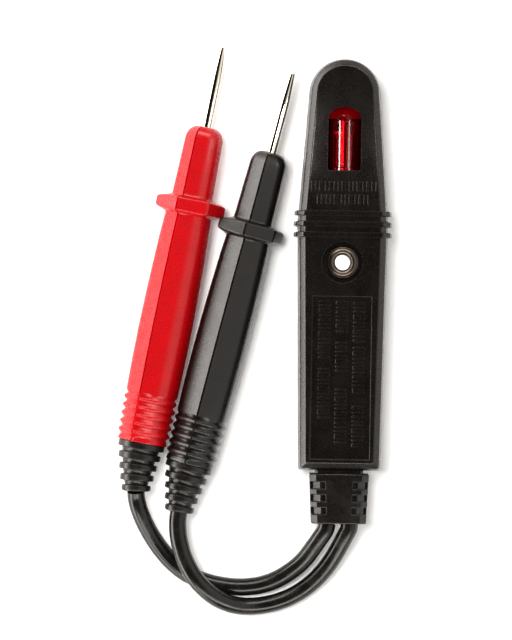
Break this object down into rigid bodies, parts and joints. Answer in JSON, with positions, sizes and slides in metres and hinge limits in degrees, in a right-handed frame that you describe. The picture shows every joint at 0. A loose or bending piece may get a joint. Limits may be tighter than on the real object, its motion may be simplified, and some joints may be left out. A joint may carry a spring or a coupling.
{
  "type": "two-lead voltage tester",
  "caption": "Slim black neon voltage tester with a red indicator window and two flexible test leads ending in a red and a black probe with bare round pins.",
  "frame": {"origin": "on the axis of the hanging rivet, on the parting plane of the two shells, halfway through the head", "axes": "+Z along the rivet's bore, out of the front face; +Y along the head towards its nose; +X to the right, away from the probes"},
  "size_m": [0.0582, 0.1227, 0.0128],
  "materials": {
    "head_plastic": "satin moulded black",
    "red_lens": "clear red moulded plastic",
    "lamp_glass": "clear",
    "electrode_nickel": "matt nickel",
    "rivet_metal": "dark nickel plate",
    "gland_rubber": "satin",
    "resistor_body": "lacquered",
    "wire_metal": "tinned",
    "crimp_metal": "plain",
    "copper": "bare copper",
    "lead_rubber": "glossy flexible jacket",
    "red_plastic": "satin moulded red",
    "black_plastic": "satin moulded black",
    "pin_metal": "bright nickel plate",
    "boot_rubber": "satin"
  },
  "bodies": {
    "root": {"front_shell": "head_plastic", "back_shell": "head_plastic", "indicator_lens": "red_lens", "neon_lamp": "lamp_glass", "red_electrode": "electrode_nickel", "black_electrode": "electrode_nickel", "hollow_rivet": "rivet_metal", "lead_gland": "gland_rubber", "red_resistor": "resistor_body", "black_resistor": "resistor_body", "red_lamp_wire": "wire_metal", "black_lamp_wire": "wire_metal", "red_splice_wire": "wire_metal", "black_splice_wire": "wire_metal", "red_crimp": "crimp_metal", "black_crimp": "crimp_metal", "red_head_conductor": "copper", "black_head_conductor": "copper", "red_head_jacket": "lead_rubber", "black_head_jacket": "lead_rubber", "red_lead": "lead_rubber", "black_lead": "lead_rubber", "red_probe_handle": "red_plastic", "black_probe_handle": "black_plastic", "red_probe_pin": "pin_metal", "black_probe_pin": "pin_metal", "red_boot": "boot_rubber", "black_boot": "boot_rubber", "red_probe_conductor": "copper", "black_probe_conductor": "copper", "red_probe_jacket": "lead_rubber", "black_probe_jacket": "lead_rubber"}
  },
  "joints": []
}
